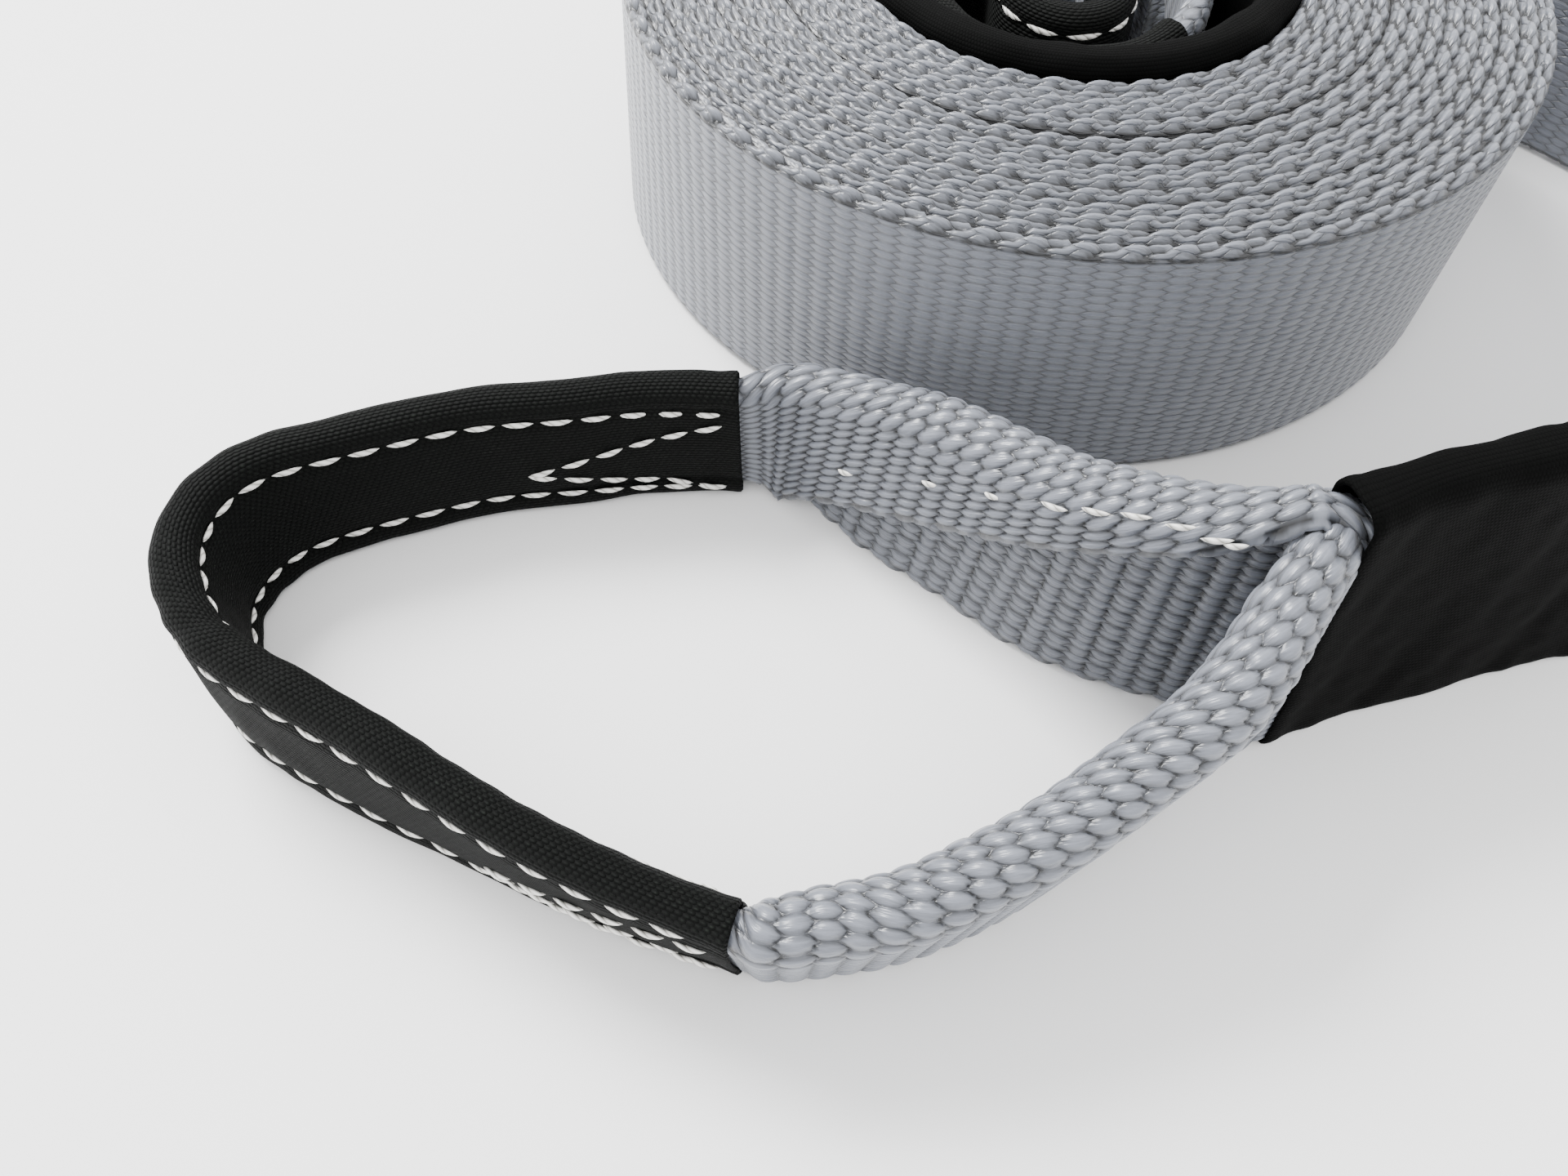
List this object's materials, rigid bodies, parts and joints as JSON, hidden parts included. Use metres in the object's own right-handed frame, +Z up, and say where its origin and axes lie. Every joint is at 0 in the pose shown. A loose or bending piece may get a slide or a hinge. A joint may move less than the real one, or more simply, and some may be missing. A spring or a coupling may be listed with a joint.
{
  "type": "tow strap",
  "caption": "Coiled grey webbing tow strap with a looped eye at each end, black wear sleeves on the eyes and black covers over the sewn splices.",
  "frame": {"origin": "under the middle of the whole strap, on the floor it lies on", "axes": "+Z up along the coil's axis; the free eye lies on the -Y side, its apex towards -X"},
  "size_m": [0.29, 0.2724, 0.0522],
  "materials": {
    "grey_webbing": "woven polyester, slightly glossy",
    "black_twill": "fine twill, matte",
    "black_knit": "smooth stretch cloth, matte"
  },
  "bodies": {
    "root": {"strap_webbing": "grey_webbing", "free_eye_sleeve": "black_twill", "free_splice_cover": "black_knit", "inner_eye_sleeve": "black_twill", "inner_splice_cover": "black_knit"}
  },
  "joints": []
}
